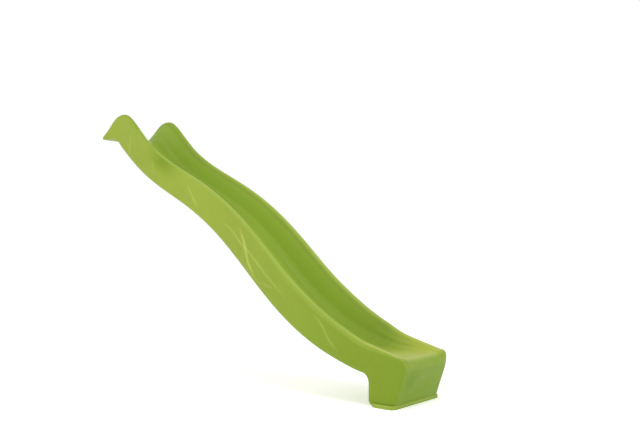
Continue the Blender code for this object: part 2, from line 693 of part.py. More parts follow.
def make_blow_plugs(material, collection):
    """The two push-in plugs in the back of the foot."""
    for word, side in (("right", -1), ("left", 1)):
        head = GAP
        plug = turned("blow_plug_" + word, [
            (0.0, head + PLUG_HEAD_THICKNESS),
            (PLUG_HEAD_RADIUS - EDGE, head + PLUG_HEAD_THICKNESS),
            (PLUG_HEAD_RADIUS, head + PLUG_HEAD_THICKNESS - EDGE), (PLUG_HEAD_RADIUS, head),
            (PLUG_RADIUS, head), (PLUG_RADIUS, -PLUG_LENGTH),
            (PLUG_RADIUS - PLUG_WALL, -PLUG_LENGTH), (PLUG_RADIUS - PLUG_WALL, -PLUG_WALL),
            (0.0, -PLUG_WALL)])
        plug.matrix_world = plug_frame(side)
        finish(plug, material, collection)


def plastic(name, colour, roughness, metallic=0.0):
    material = bpy.data.materials.new(name)
    material.use_nodes = True
    shader = material.node_tree.nodes["Principled BSDF"]
    shader.inputs["Base Color"].default_value = (*colour, 1.0)
    shader.inputs["Roughness"].default_value = roughness
    shader.inputs["Metallic"].default_value = metallic
    material.diffuse_color = (*colour, 1.0)
    return material


def build():
    for obj in list(bpy.data.objects):
        bpy.data.objects.remove(obj, do_unlink=True)
    slide = bpy.data.collections.new("wave_slide")
    cutters = bpy.data.collections.new("cutters")
    for collection in (slide, cutters):
        bpy.context.scene.collection.children.link(collection)
    green = plastic("green_polyethylene", GREEN, 0.38)
    dark_green = plastic("dark_green_plastic", DARK_GREEN, 0.45)
    zinc = plastic("zinc_plated_steel", ZINC, 0.35, 1.0)
    rubber = plastic("black_rubber", BLACK, 0.70)
    black = plastic("black_plastic", BLACK, 0.45)
    brass = plastic("brass", BRASS, 0.30, 1.0)
    make_chute(green, slide, cutters)
    for word, y in LIP_SCREWS:
        make_lip_fixing(word, y, zinc, dark_green, slide)
    make_inlet(dark_green, rubber, black, brass, slide, cutters)
    make_blow_plugs(dark_green, slide)


build()
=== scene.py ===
"""Looks of the garden wave slide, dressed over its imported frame.

Metres, in the frame's own axes: +X down the slide, +Y to the rider's left, +Z up. The origin is
on the underside of the lip.
"""
import math

import bmesh
import bpy
import numpy as np
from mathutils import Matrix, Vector

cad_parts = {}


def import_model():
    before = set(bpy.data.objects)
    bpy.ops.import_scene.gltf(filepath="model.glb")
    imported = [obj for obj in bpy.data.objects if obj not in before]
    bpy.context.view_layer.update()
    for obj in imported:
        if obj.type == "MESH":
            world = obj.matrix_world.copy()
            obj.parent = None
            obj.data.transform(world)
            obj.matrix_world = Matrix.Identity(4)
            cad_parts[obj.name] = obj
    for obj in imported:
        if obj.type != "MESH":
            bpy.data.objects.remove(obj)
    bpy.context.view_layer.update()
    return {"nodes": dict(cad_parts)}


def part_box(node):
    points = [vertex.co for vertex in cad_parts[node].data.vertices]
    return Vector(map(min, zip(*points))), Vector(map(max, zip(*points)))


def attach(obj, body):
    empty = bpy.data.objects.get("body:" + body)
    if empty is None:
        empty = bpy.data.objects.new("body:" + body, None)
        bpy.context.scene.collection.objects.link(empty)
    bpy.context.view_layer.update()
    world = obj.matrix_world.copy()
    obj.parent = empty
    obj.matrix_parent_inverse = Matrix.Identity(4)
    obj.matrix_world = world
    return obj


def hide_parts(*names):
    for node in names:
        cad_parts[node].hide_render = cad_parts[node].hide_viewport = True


# The moulding's sizes, as in the part's source
PLATFORM_HEIGHT = 1.500
HALF_WIDTH = 0.200
LIP_SEAT, LIP_BACK, LIP_THICKNESS, LIP_LEVEL = 0.077, 0.0445, 0.013, 0.098
RUNS = (LIP_LEVEL, 0.144, 0.630, 0.830, 0.770, 0.200, 0.145)
BED_SLOPES = (0.0, 40.5, 26.0, 42.0, 15.5, 1.0, 1.0)
EAR_FOOT, EAR_RISE, EAR_PLACE, EAR_HEIGHT = 0.003, 0.077, 0.197, 0.1650
SHOULDER_WALL, HUMP_WALL, STEEP_WALL, LOWER_WALL = 0.145, 0.140, 0.157, 0.147
LEVELLING_WALL, RUN_OUT_WALL, MOUTH_WALL = 0.104, 0.053, 0.016
CREST_FLOOR, STEEP_FLOOR, LEVELLING_FLOOR, RUN_OUT_FLOOR = 0.050, 0.046, 0.065, 0.090
DRAFT, FOOT_DRAFT, DRAFT_DEPTH = math.radians(4.0), math.radians(1.75), 0.200
RIM_WIDTH, RIM_DROP, RIM_EDGE, WALL_LEAN = 0.049, 0.036, 0.012, 0.006
COVE, MOUTH_COVE, BELLY_CORNER, CORNER_SHARE = 0.045, 0.110, 0.020, 0.4
DROP_SHARE, EDGE_SHARE, COVE_SHARE = 0.36, 0.20, 0.45
RIM_SLOPE = ((1.0, 1.0), (0.84, 0.45), (0.63, 0.12), (0.39, 0.0))
RIM_ROUND = ((0.65, 0.12), (0.12, 0.62))
FOOT_LENGTH, FACE_LEAN, NOSE, CHEEK, RIM_SINK = 0.163, math.radians(19.0), 0.0577, 0.020, 0.62
MOUTH_CORNER = 0.062
FOOT_FILLET, HEEL, FOOT_CORNER, FAN_CURVE, BASE_LIFT = 0.045, 0.024, 0.018, 1.35, 0.002
FLANGE_HALF_WIDTH, FLANGE_THICKNESS, FLANGE_REACH = 0.205, 0.018, 0.0076
FLANGE_CORNER, FLANGE_EDGE = 0.028, 0.005
SKIN = 0.003
POCKET_RADIUS, POCKET_FLARE, POCKET_SPREAD = 0.018, 0.010, 0.085
# The first and last weld pockets stand where the solid has them
POCKET_ROWS, POCKET_START, POCKET_END = 7, 0.652, 2.424
SCREW_PITCH, SCREW_COUNT = 0.058, 4
INLET_PLACE, INLET_POCKET_RADIUS = 0.492, 0.027
# The lip's rounded back edge: how far in and how far along the bed each of its rings stands
LIP_BACK_EDGE = ((0.0022, 0.0), (0.0012, 0.0004), (0.0004, 0.0012), (0.0, 0.0026))
# Round holes: how far below the surface the drill starts, its radius and its length
SCREW_DRILL, PLUG_DRILL = (0.010, 0.0038, 0.04), (0.006, 0.0093, 0.020)
NOZZLE_DRILL, NOZZLE_SEAT_DRILL = (0.020, 0.0083, 0.03), (0.0023, 0.0163, 0.02)

# Fineness of the dressed moulding
STEP, FINE_STEP = 0.004, 0.0001
STATION_PITCH = 0.0065
ROWS = {"bed": 4, "cove": 7, "inner": 4, "rim": 3, "outer": 56, "corner": 5, "belly": 4}
RIM_ROWS = ROWS["rim"] * (len(RIM_SLOPE) + len(RIM_ROUND))
# The largest share and the fewest of the outside's rows that stand above the bed
UPPER_SHARE, UPPER_LEAST = 0.85, 4
# Rings round the foot and over its fillet, and where along its outline each stretch ends
FOOT_RINGS, FILLET_RINGS = 36, 12
FILLET_END, BACK_END, HEEL_END, TOE = 4, 6, 10, 12
NOSE_STEPS = 14
FACE_RINGS = 12
# Shares of bed and sole in the front face's middle, and its dish: depth, flat part, slope
FACE_MIDDLE = (0.58, 0.42)
FACE_DISH, DISH_FLAT, DISH_SLOPE = 0.004, 0.25, 0.35
CREASE_STEPS, CREASE_END_FADE = 16, 4
ROUND_SIDES, FLANGE_STEPS, FLANGE_EDGE_STEPS = 32, 12, 5

# Soft moulded creases in the side walls: points (x, z) down each one, height, width, how far
# its raised lower side takes to fall away, and how strongly a painted highlight pales its edge
CREASES = (
    (((0.292, 0.011), (0.276, -0.041), (0.262, -0.093), (0.257, -0.143)),
     0.0035, 0.013, 0.05, 0.45),
    (((0.515, -0.182), (0.527, -0.234), (0.544, -0.290)), 0.0030, 0.013, 0.04, 0.35),
    (((0.874, -0.364), (0.908, -0.422), (0.941, -0.472), (0.974, -0.518)),
     0.0035, 0.013, 0.06, 0.45),
    (((1.335, -0.631), (1.380, -0.735), (1.405, -0.829), (1.433, -0.881), (1.463, -0.927)),
     0.0060, 0.014, 0.05, 1.2),
    (((1.433, -0.881), (1.463, -0.927), (1.557, -0.958), (1.629, -0.975)),
     0.0030, 0.013, 0.05, 0.25),
    (((1.172, -0.584), (1.275, -0.658), (1.344, -0.721), (1.433, -0.796), (1.538, -0.893),
      (1.620, -0.962), (1.697, -1.022)), 0.0040, 0.013, 0.05, 0.55),
    (((2.330, -1.291), (2.290, -1.298), (2.240, -1.304), (2.180, -1.308)),
     0.0035, 0.013, 0.04, 0.0),
    (((1.884, -1.088), (1.940, -1.139), (1.980, -1.203), (2.042, -1.273)),
     0.0040, 0.013, 0.05, 0.55),
)
# Reach of the creases' painted highlight; strengths of the rim's painted highlight, the landing's
# painted light, and the painted shade on the front face and towards the foot
HIGHLIGHT_REACH, RIM_HIGHLIGHT, LANDING_LIGHT, FACE_SHADE, FOOT_SHADE = 0.0062, 0.5, 0.9, 0.55, 0.50
LANDING_REACH, LANDING_FADE = 0.30, 0.20
# Where along the slide a tone begins to change, and over what length: the foot's painted shade,
# the rim's painted highlight and the inner walls' painted light. The inner walls' painted light
# then loses a share, and across the section it ends this many rows past the rim's start.
FOOT_SHADE_RUN, RIM_HIGHLIGHT_RUN, INNER_LIGHT_RUN = (1.5, 0.6), (0.3, 0.6), (1.75, 0.35)
INNER_LIGHT_LOSS, INNER_LIGHT_ENDS = 0.6, (2, 10)
# The rim's painted highlight: its strength at the rim's middle, which is held at 1, and how many
# rows away from there it takes to fall by 1
RIM_HIGHLIGHT_TOP, RIM_HIGHLIGHT_FALL = 1.75, 3.5
# Over how many rows or rings each tone fades, and the ring past the mouth where the landing's
# painted light ends
FADES = {"wall": 5, "face": 4, "bed": 3, "inner": 4, "inner_top": 12, "landing": 4, "roll": 5}
LANDING_LAST = 6
# How strongly real scuffs, the painted highlights on rims, creases and flange, and the
# landing's painted light pale the colour
SCUFF_PALING, HIGHLIGHT_PALING, LANDING_LIGHT_PALING = 0.22, 0.5, 0.68
# How strongly a painted highlight pales the flange's top, and above which share of its thickness
FLANGE_HIGHLIGHT, FLANGE_HIGHLIGHT_ABOVE = 0.45, 0.4
# A soft deeper spot on the front face: its middle (y, z), half width, half height, strength
FACE_SPOT = ((-0.100, -1.376), 0.055, 0.040, 1.0)
# Rows across the section, and the share of the inner walls' painted light at each
INNER_ROWS, INNER_SHARES = (2, 5, 7, 11), (0.50, 0.10, 0.20, 1.0)
# A shallow hollow under the shoulder: its middle (x, z), slope, half length, half height, depth
HOLLOW = ((0.628, -0.205), math.radians(28.0), 0.125, 0.062, 0.008)

WALLS_LIGHT, MIDDLE_LIGHT, CEILING_LIGHT = 1.0, 1.02, 0.3
# How high in the surroundings the middle and the ceiling come in
MIDDLE_BAND, CEILING_BAND = (0.20, 0.36), (0.70, 0.90)
# The point that the lights face, and each light's name, place, size, power and colour
LIGHT_AIM = (1.2, 0.0, -0.8)
LIGHTS = (("key", (0.1, -2.3, -0.25), 1.0, 19.0, (1.0, 0.72, 0.55)),
          ("front", (3.0, -0.4, 2.2), 1.4, 53.0, (0.90, 1.0, 0.92)))

# The camera: its place, its tilt and turn in degrees, its lens and sensor in millimetres, and
# how far it sees
CAMERA_PLACE, CAMERA_TILT, CAMERA_TURN = (4.2212, -2.8761, -0.7811), 93.216, 40.533
CAMERA_LENS, CAMERA_SENSOR, CAMERA_FARTHEST = 39.375, 36.0, 400.0
FLOOR_REACH = 90

GREEN = (0.226, 0.318, 0.030)
# Lighter green painted on the inner walls and bed as light that reaches them
INNER_LIT_GREEN = (0.345, 0.485, 0.058)
# Darker green painted as shade on the front face, towards the foot and in the hollow
SHADE_GREEN = (0.150, 0.250, 0.004)
# Paler green for real scuffs and for painted highlights on rims, creases and flange
WEAR_AND_HIGHLIGHT_GREEN = (0.47, 0.55, 0.12)
# Paler, yellower green painted as light on the landing
LANDING_LIT_GREEN = (0.46, 0.49, 0.075)
DARK_GREEN = (0.095, 0.175, 0.030)
ZINC = (0.60, 0.61, 0.62)
BLACK = (0.020, 0.020, 0.022)
BRASS = (0.70, 0.50, 0.21)

PLACES = np.cumsum(RUNS)
LIP_END, CREST, HUMP, STEEP, LEVELLING, RUN_OUT_BEGIN, MOUTH = PLACES
SLOPES = [(0.0, 0.0)] + list(zip(PLACES, BED_SLOPES))
WALLS = ((0.0, EAR_FOOT), (LIP_END, EAR_FOOT + EAR_RISE), (EAR_PLACE, EAR_HEIGHT),
         ((CREST + HUMP) / 2, SHOULDER_WALL), (HUMP, HUMP_WALL), (STEEP, STEEP_WALL),
         ((STEEP + LEVELLING) / 2, LOWER_WALL), (LEVELLING, LEVELLING_WALL),
         (RUN_OUT_BEGIN, RUN_OUT_WALL), (MOUTH, MOUTH_WALL))
FLOORS = ((0.0, LIP_THICKNESS), (LIP_SEAT, LIP_THICKNESS), (CREST, CREST_FLOOR),
          (HUMP, STEEP_FLOOR), (STEEP, STEEP_FLOOR), (LEVELLING, LEVELLING_FLOOR),
          (RUN_OUT_BEGIN, RUN_OUT_FLOOR))
DRAFTS = ((LEVELLING, DRAFT), (RUN_OUT_BEGIN, FOOT_DRAFT))
COVES = ((RUN_OUT_BEGIN, COVE), (MOUTH, MOUTH_COVE))
WALL_FOOT = HALF_WIDTH - RIM_WIDTH - WALL_LEAN


def smooth(keys, place):
    """Read a smooth curve through keys, which overshoots none of them and ends straight."""
    if place <= keys[0][0]:
        return keys[0][1]
    if place >= keys[-1][0]:
        return keys[-1][1]
    spans = [b[0] - a[0] for a, b in zip(keys, keys[1:])]
    rises = [(b[1] - a[1]) / span for a, b, span in zip(keys, keys[1:], spans)]
    tangents = [rises[0]] + [0.0] * (len(keys) - 2) + [rises[-1]]
    for i in range(1, len(keys) - 1):
        if rises[i - 1] * rises[i] > 0:
            before = 2 * spans[i] + spans[i - 1]
            after = spans[i] + 2 * spans[i - 1]
            tangents[i] = (before + after) / (before / rises[i - 1] + after / rises[i])
    i = max(j for j in range(len(spans)) if place >= keys[j][0])
    t = (place - keys[i][0]) / spans[i]
    return (keys[i][1] * (1 + 2 * t) * (1 - t) ** 2 + tangents[i] * spans[i] * t * (1 - t) ** 2
            + keys[i + 1][1] * t * t * (3 - 2 * t) + tangents[i + 1] * spans[i] * t * t * (t - 1))


def bed_curve():
    """Points (x, z) of the bed's line, one step apart, from the lip to the mouth."""
    x = -LIP_BACK
    z = LIP_THICKNESS
    points = [(x, z)]
    for i in range(round(MOUTH / STEP)):
        slope = math.radians(smooth(SLOPES, (i + 0.5) * STEP))
        x += STEP * math.cos(slope)
        z -= STEP * math.sin(slope)
        points.append((x, z))
    return points


BED = bed_curve()


def flat(x, z):
    """A point or direction in the side view."""
    return np.array((x, 0.0, z))


def bed_point(place):
    """The point on the bed's line at a length along it."""
    share = min(max(place / STEP, 0.0), len(BED) - 1.001)
    i = int(share)
    t = share - i
    return flat(BED[i][0] * (1 - t) + BED[i + 1][0] * t,
                BED[i][1] * (1 - t) + BED[i + 1][1] * t)


def ramp(value, reach=1.0):
    """How much of its reach a value has covered, between 0 and 1."""
    return np.clip(value / reach, 0, 1)


def lean_to(angle):
    """The upright direction, leaned down the slide by an angle."""
    return flat(math.sin(angle), math.cos(angle))


def slope_at(place):
    return math.radians(smooth(SLOPES, place))


def belly_point(place):
    """The point on the underside below a place on the bed."""
    return bed_point(place) - lean_to(slope_at(place)) * smooth(FLOORS, place)


BED_END = bed_point(MOUTH)
FOOT_BACK = BED_END[0] - FOOT_LENGTH
FOOT_BASE = -PLATFORM_HEIGHT + BASE_LIFT
FACE_BOTTOM = BED_END[0] - (BED_END[2] - FOOT_BASE) * math.tan(FACE_LEAN)
FACE_FRONT = FACE_BOTTOM + NOSE / math.cos(FACE_LEAN)


def foot_start():
    """How far down the bed the belly runs into the fillet at the foot's back.

    The part's source takes a steeper slope here, so its fillet starts 9 mm further down.
    """
    place = LEVELLING
    while belly_point(place)[0] < FOOT_BACK - FOOT_FILLET * (1 - math.sin(slope_at(place))):
        place += FINE_STEP
    return place


FOOT_START = foot_start()


def through(points, steps):
    """A smooth line through points, with a number of steps between each two."""
    points = [np.asarray(p, float) for p in points]
    ends = [2 * points[0] - points[1]] + points + [2 * points[-1] - points[-2]]
    line = []
    for a, b, c, d in zip(ends, ends[1:], ends[2:], ends[3:]):
        for i in range(steps):
            t = i / steps
            line.append(0.5 * (2 * b + (c - a) * t + (2 * a - 5 * b + 4 * c - d) * t * t
                               + (3 * b - a - 3 * c + d) * t ** 3))
    return line + [points[-1]]


def blend(a, b, steps):
    """Points at even steps from a, which is left out, to b."""
    return [a + (b - a) * (i + 1) / steps for i in range(steps)]


def section(place, up, belly, inward, corner, inset=0.0):
    """Half a cross-section as an array of points, from the bed's middle to the belly's."""
    side = np.array((0.0, 1.0, 0.0))
    bed = bed_point(place) - up * inset
    wall = smooth(WALLS, place) + 0.5 * inset
    cove = smooth(COVES, place)
    draft = math.tan(smooth(DRAFTS, place))
    drop = min(RIM_DROP, DROP_SHARE * wall)
    edge = min(RIM_EDGE, EDGE_SHARE * wall)
    rise = min(COVE, COVE_SHARE * wall)

    def outside(depth):
        return HALF_WIDTH - draft * min(depth, DRAFT_DEPTH)

    def at(y, height):
        return bed + side * y + up * height

    points = [bed]
    points += blend(bed, at(WALL_FOOT - cove, 0.0), ROWS["bed"])
    for i in range(1, ROWS["cove"] + 1):
        turn = i / ROWS["cove"] * math.pi / 2
        points.append(at(WALL_FOOT - cove * (1 - math.sin(turn)), rise * (1 - math.cos(turn))))
    rim = [at(HALF_WIDTH - RIM_WIDTH * across, wall - drop * down) for across, down in RIM_SLOPE]
    rim += [at(HALF_WIDTH - RIM_EDGE * across, wall - edge * down) for across, down in RIM_ROUND]
    rim.append(at(outside(2 * edge), wall - 2 * edge))
    points += blend(points[-1], rim[0], ROWS["inner"])
    points += through(rim, ROWS["rim"])[1:]
    low = belly + inward * corner
    edge_y = outside(wall + np.linalg.norm(low - bed))
    upper = round(ROWS["outer"]
                  * min(UPPER_SHARE, wall / (wall + np.linalg.norm(low - bed))))
    upper = max(upper, UPPER_LEAST)
    level = at(outside(wall), 0.0)
    points += blend(points[-1], level, upper)
    points += blend(level, low + side * edge_y, ROWS["outer"] - upper)
    for i in range(1, ROWS["corner"] + 1):
        turn = i / ROWS["corner"] * math.pi / 2
        points.append(belly + inward * corner * (1 - math.sin(turn))
                      + side * (edge_y - corner * (1 - math.cos(turn))))
    points += blend(points[-1], belly, ROWS["belly"])
    return np.array(points)


def foot_outline(t):
    """The foot's line in the side view, from 0 at its fillet to TOE: (point, inward)."""
    start = belly_point(FOOT_START)
    rest = math.pi / 2 - slope_at(FOOT_START)
    fillet = flat(FOOT_BACK - FOOT_FILLET, start[2] - FOOT_FILLET * math.sin(rest))
    heel = flat(FOOT_BACK + HEEL, FOOT_BASE + HEEL)
    if t <= FILLET_END:
        turn = rest * (1 - t / FILLET_END)
        inward = flat(math.cos(turn), math.sin(turn))
        return fillet + inward * FOOT_FILLET, inward
    if t <= BACK_END:
        top, bottom = fillet[2], heel[2]
        height = top + (bottom - top) * (t - FILLET_END) / (BACK_END - FILLET_END)
        return flat(FOOT_BACK, height), flat(1.0, 0.0)
    if t <= HEEL_END:
        turn = (t - BACK_END) / (HEEL_END - BACK_END) * math.pi / 2
        inward = flat(math.cos(turn), math.sin(turn))
        return heel - inward * HEEL, inward
    share = (t - HEEL_END) / (TOE - HEEL_END)
    return (flat(heel[0] + (FACE_BOTTOM - heel[0]) * share, FOOT_BASE),
            lean_to(FACE_LEAN * max(0.0, t - (HEEL_END + TOE) / 2)))


def round_top(wide, high, radius):
    """Pull a ring's top corners in to a radius."""
    across = np.abs(wide) - (np.abs(wide).max() - radius)
    above = high - (high.max() - radius)
    distance = np.hypot(across, above)
    beyond = (across > 0) & (above > 0) & (distance > radius)
    pull = np.where(beyond, 1 - radius / np.maximum(distance, 1e-9), 0.0)
    return wide - np.sign(wide) * across * pull, high - above * pull


def ring_of(half):
    """A whole ring from its left half."""
    mirrored = half[-2:0:-1] * np.array((1.0, -1.0, 1.0))
    return np.vstack((half, mirrored))


def chute_rings():
    """Every ring of the moulding's outer skin, from the lip's back edge to the foot's front."""
    rings = []
    for inset, setback in LIP_BACK_EDGE:
        up = lean_to(0.0)
        half = section(setback, up, belly_point(setback) + up * inset, up,
                       CORNER_SHARE * LIP_THICKNESS, inset)
        half[:, 1] *= 1 - inset / HALF_WIDTH
        rings.append(ring_of(half))
    count = round(FOOT_START / STATION_PITCH)
    for i in range(1, count + 1):
        place = FOOT_START * i / count
        up = lean_to(slope_at(place))
        corner = min(BELLY_CORNER, CORNER_SHARE * smooth(FLOORS, place))
        rings.append(ring_of(section(place, up, belly_point(place), up, corner)))
    slope = slope_at(FOOT_START)
    for i in range(1, FOOT_RINGS + 1):
        share = (i / FOOT_RINGS) ** FAN_CURVE
        place = FOOT_START + (MOUTH - FOOT_START) * share
        point, inward = foot_outline(i * TOE / FOOT_RINGS)
        up = lean_to(slope + (FACE_LEAN - slope) * share)
        corner = FOOT_CORNER + (BELLY_CORNER - FOOT_CORNER) * max(0.0, 1 - i / FILLET_RINGS)
        rings.append(ring_of(section(place, up, point, inward, corner)))
    up = lean_to(FACE_LEAN)
    bottom = flat(FACE_BOTTOM, FOOT_BASE)
    ahead = flat(1 / math.cos(FACE_LEAN), 0.0)
    last = rings[-1]
    heights = (last - bottom) @ up
    mouth = heights[0]
    for i in range(1, NOSE_STEPS + 1):
        turn = i / NOSE_STEPS * math.pi / 2
        done = 1 - math.cos(turn)
        high = heights - RIM_SINK * np.maximum(heights - mouth, 0.0) * done
        high = high * (1 - NOSE * done / heights.max())
        wide = last[:, 1] * (1 - CHEEK * done / HALF_WIDTH)
        wide, high = round_top(wide, high, MOUTH_CORNER * done)
        ring = bottom + np.outer(high, up) + ahead * NOSE * math.sin(turn)
        ring[:, 1] = wide
        rings.append(ring)
    face = rings[-1]
    centre = face[0] * FACE_MIDDLE[0] + face[len(face) // 2] * FACE_MIDDLE[1]
    for i in range(1, FACE_RINGS + 1):
        share = 1 - i / (FACE_RINGS + 1)
        depth = FACE_DISH * (1 - ramp(share - DISH_FLAT, DISH_SLOPE)) ** 2
        rings.append(centre + (face - centre) * share - ahead * depth)
    return rings


def mesh_object(name, vertices, faces):
    mesh = bpy.data.meshes.new(name)
    mesh.from_pydata([tuple(v) for v in vertices], [], faces)
    obj = bpy.data.objects.new(name, mesh)
    bpy.context.scene.collection.objects.link(obj)
    return obj


def skin_shares(points, sides, rings):
    """The shares from 0 up that the finish reads at each point of the skin, by name."""
    x, y, z = points.T
    column = np.arange(len(points)) % sides
    ring = np.arange(len(points)) // sides
    half = np.minimum(column, sides - column)
    first = 1 + ROWS["bed"] + ROWS["cove"] + ROWS["inner"] + RIM_ROWS
    last = first + ROWS["outer"]
    rim_start = first - RIM_ROWS
    sunk = rings - NOSE_STEPS - FACE_RINGS
    behind_nose = ring < sunk

    across = ramp(half - first, FADES["wall"]) * ramp(last - half, FADES["wall"])
    across *= behind_nose
    # Painted shade: the outside grows darker towards the foot
    begin, run = FOOT_SHADE_RUN
    low = FOOT_SHADE * (half >= first) * ramp(x - begin, run)
    # Painted shade over the front face, stronger in a soft spot
    on_face = ramp(ring - rings + FACE_RINGS + FADES["face"], FADES["face"])
    (spot_y, spot_z), spot_wide, spot_tall, spot_share = FACE_SPOT
    spot = np.exp(-((y - spot_y) / spot_wide) ** 2 - ((z - spot_z) / spot_tall) ** 2)
    on_face *= 1 + spot_share * spot
    # Painted highlight along the rim
    from_middle = np.abs(half - first + RIM_ROWS // 2)
    rim_highlight = RIM_HIGHLIGHT * ramp(RIM_HIGHLIGHT_TOP - from_middle / RIM_HIGHLIGHT_FALL)
    begin, run = RIM_HIGHLIGHT_RUN
    rim_highlight *= behind_nose * ramp(x - begin, run)
    # Painted light on the landing, rolled over the nose
    rolled = (ramp(x - BED_END[0] + LANDING_REACH, LANDING_FADE)
              * ramp(sunk + LANDING_LAST - ring, FADES["roll"]))
    landing = FADES["landing"]
    # Painted light on the inner walls and cove, weaker further down the slide
    begin, run = INNER_LIGHT_RUN
    inner_end, inner_last = INNER_LIGHT_ENDS
    return {"bed_share": ramp(ROWS["bed"] + FADES["bed"] - half, FADES["bed"]),
            "inner_light_paint": (ramp(rim_start + inner_end - half, FADES["inner"]) * behind_nose
                            * np.interp(half, INNER_ROWS, INNER_SHARES)
                            * ramp(rim_start + inner_last - half, FADES["inner_top"])
                            * (1 - INNER_LIGHT_LOSS * ramp(x - begin, run))),
            "wall_share": across,
            "outer_share": (half > first - FADES["wall"]) * (half < last) * behind_nose,
            "edge_wear": rim_highlight,
            "landing_light_paint": LANDING_LIGHT * rolled * ramp(first - landing - half, landing),
            "deep_share": np.maximum(FACE_SHADE * on_face, low)}


def chute_skin():
    """The moulding's closed outer skin as a mesh object, with the shares its finish reads."""
    rings = chute_rings()
    sides = len(rings[0])
    points = np.vstack(rings)
    faces = []
    for i in range(len(rings) - 1):
        for j in range(sides):
            k = (j + 1) % sides
            faces.append((i * sides + j, i * sides + k,
                          (i + 1) * sides + k, (i + 1) * sides + j))
    faces.append(tuple(range(sides))[::-1])
    faces.append(tuple((len(rings) - 1) * sides + j for j in range(sides)))
    obj = mesh_object("chute_shell", points, faces)
    for name, share in skin_shares(points, sides, len(rings)).items():
        attribute = obj.data.attributes.new(name, 'FLOAT', 'POINT')
        attribute.data.foreach_set("value", share.astype(np.float32))
    bm = bmesh.new()
    bm.from_mesh(obj.data)
    bmesh.ops.recalc_face_normals(bm, faces=bm.faces[:])
    bm.to_mesh(obj.data)
    bm.free()
    return obj


def smooth_shade(obj, angle=32.0):
    obj.data.shade_smooth()
    obj.data.set_sharp_from_angle(angle=math.radians(angle))


class Wire:
    """A node's output that takes arithmetic, which adds Math nodes to its own tree."""

    def __init__(self, home, socket):
        self.home = home
        self.socket = socket

    def __add__(self, other):
        return self.home.maths('ADD', self, other)

    def __sub__(self, other):
        return self.home.maths('SUBTRACT', self, other)

    def __mul__(self, other):
        return self.home.maths('MULTIPLY', self, other)

    def __truediv__(self, other):
        return self.home.maths('DIVIDE', self, other)

    def __neg__(self):
        return self.home.maths('MULTIPLY', self, -1.0)

    __radd__ = __add__
    __rmul__ = __mul__


class Tree:
    """A Geometry Nodes group, with its inputs and a short way to add nodes."""

    def __init__(self, name):
        self.group = bpy.data.node_groups.new(name, 'GeometryNodeTree')
        self.group.interface.new_socket("Geometry", in_out='INPUT',
                                        socket_type='NodeSocketGeometry')
        self.group.interface.new_socket("Geometry", in_out='OUTPUT',
                                        socket_type='NodeSocketGeometry')
        self.inputs = self.group.nodes.new('NodeGroupInput')
        self.output = self.group.nodes.new('NodeGroupOutput')
        self.values = {}

    def input(self, name, kind, value):
        socket = self.group.interface.new_socket(name, in_out='INPUT',
                                                 socket_type='NodeSocket' + kind)
        self.values[socket.identifier] = value
        return Wire(self, self.inputs.outputs[name])

    def maths(self, operation, a, b=0.0):
        node = self.node('ShaderNodeMath', {0: a, 1: b}, operation=operation)
        return Wire(self, node.outputs[0])

    def attribute(self, name, kind='FLOAT'):
        node = self.node('GeometryNodeInputNamedAttribute', {"Name": name}, data_type=kind)
        return Wire(self, node.outputs[0])

    def node(self, kind, inputs=None, **settings):
        node = self.group.nodes.new(kind)
        for key, value in settings.items():
            setattr(node, key, value)
        for key, value in (inputs or {}).items():
            if isinstance(value, Wire):
                value = value.socket
            if isinstance(value, bpy.types.NodeSocket):
                self.group.links.new(value, node.inputs[key])
            else:
                node.inputs[key].default_value = value
        return node

    def apply(self, obj, geometry, material):
        """End the tree, run it on an object and leave its result as the object's plain mesh."""
        real = self.node('GeometryNodeRealizeInstances', {0: geometry})
        made = self.node('GeometryNodeSetMaterial', {0: real.outputs[0], "Material": material})
        self.group.links.new(made.outputs[0], self.output.inputs[0])
        modifier = obj.modifiers.new(self.group.name, 'NODES')
        modifier.node_group = self.group
        for identifier, value in self.values.items():
            modifier[identifier] = value
        obj.update_tag()
        graph = bpy.context.evaluated_depsgraph_get()
        mesh = bpy.data.meshes.new_from_object(obj.evaluated_get(graph), depsgraph=graph)
        obj.modifiers.remove(modifier)
        obj.data = mesh
        return obj


def crease_line(name, points):
    """A crease's line in the side view, with the way to its raised side and its fading ends."""
    line = np.array(through(points, CREASE_STEPS))
    obj = mesh_object(name, [(x, 0.0, z) for x, z in line], [])
    obj.data.edges.add(len(line) - 1)
    obj.data.edges.foreach_set("vertices",
                               [n for i in range(len(line) - 1) for n in (i, i + 1)])
    run = np.gradient(line, axis=0)
    run /= np.linalg.norm(run, axis=1)[:, None]
    below = np.stack((run[:, 1], np.zeros(len(line)), -run[:, 0]), axis=1)
    steps = np.linalg.norm(np.diff(line, axis=0), axis=1)
    along = np.concatenate(((0.0,), np.cumsum(steps))) / steps.sum()
    ends = ramp(along * CREASE_END_FADE) * ramp((1 - along) * CREASE_END_FADE)
    obj.data.attributes.new("below", 'FLOAT_VECTOR', 'POINT').data.foreach_set(
        "vector", below.astype(np.float32).ravel())
    obj.data.attributes.new("end_share", 'FLOAT', 'POINT').data.foreach_set(
        "value", ends.astype(np.float32))
    return obj


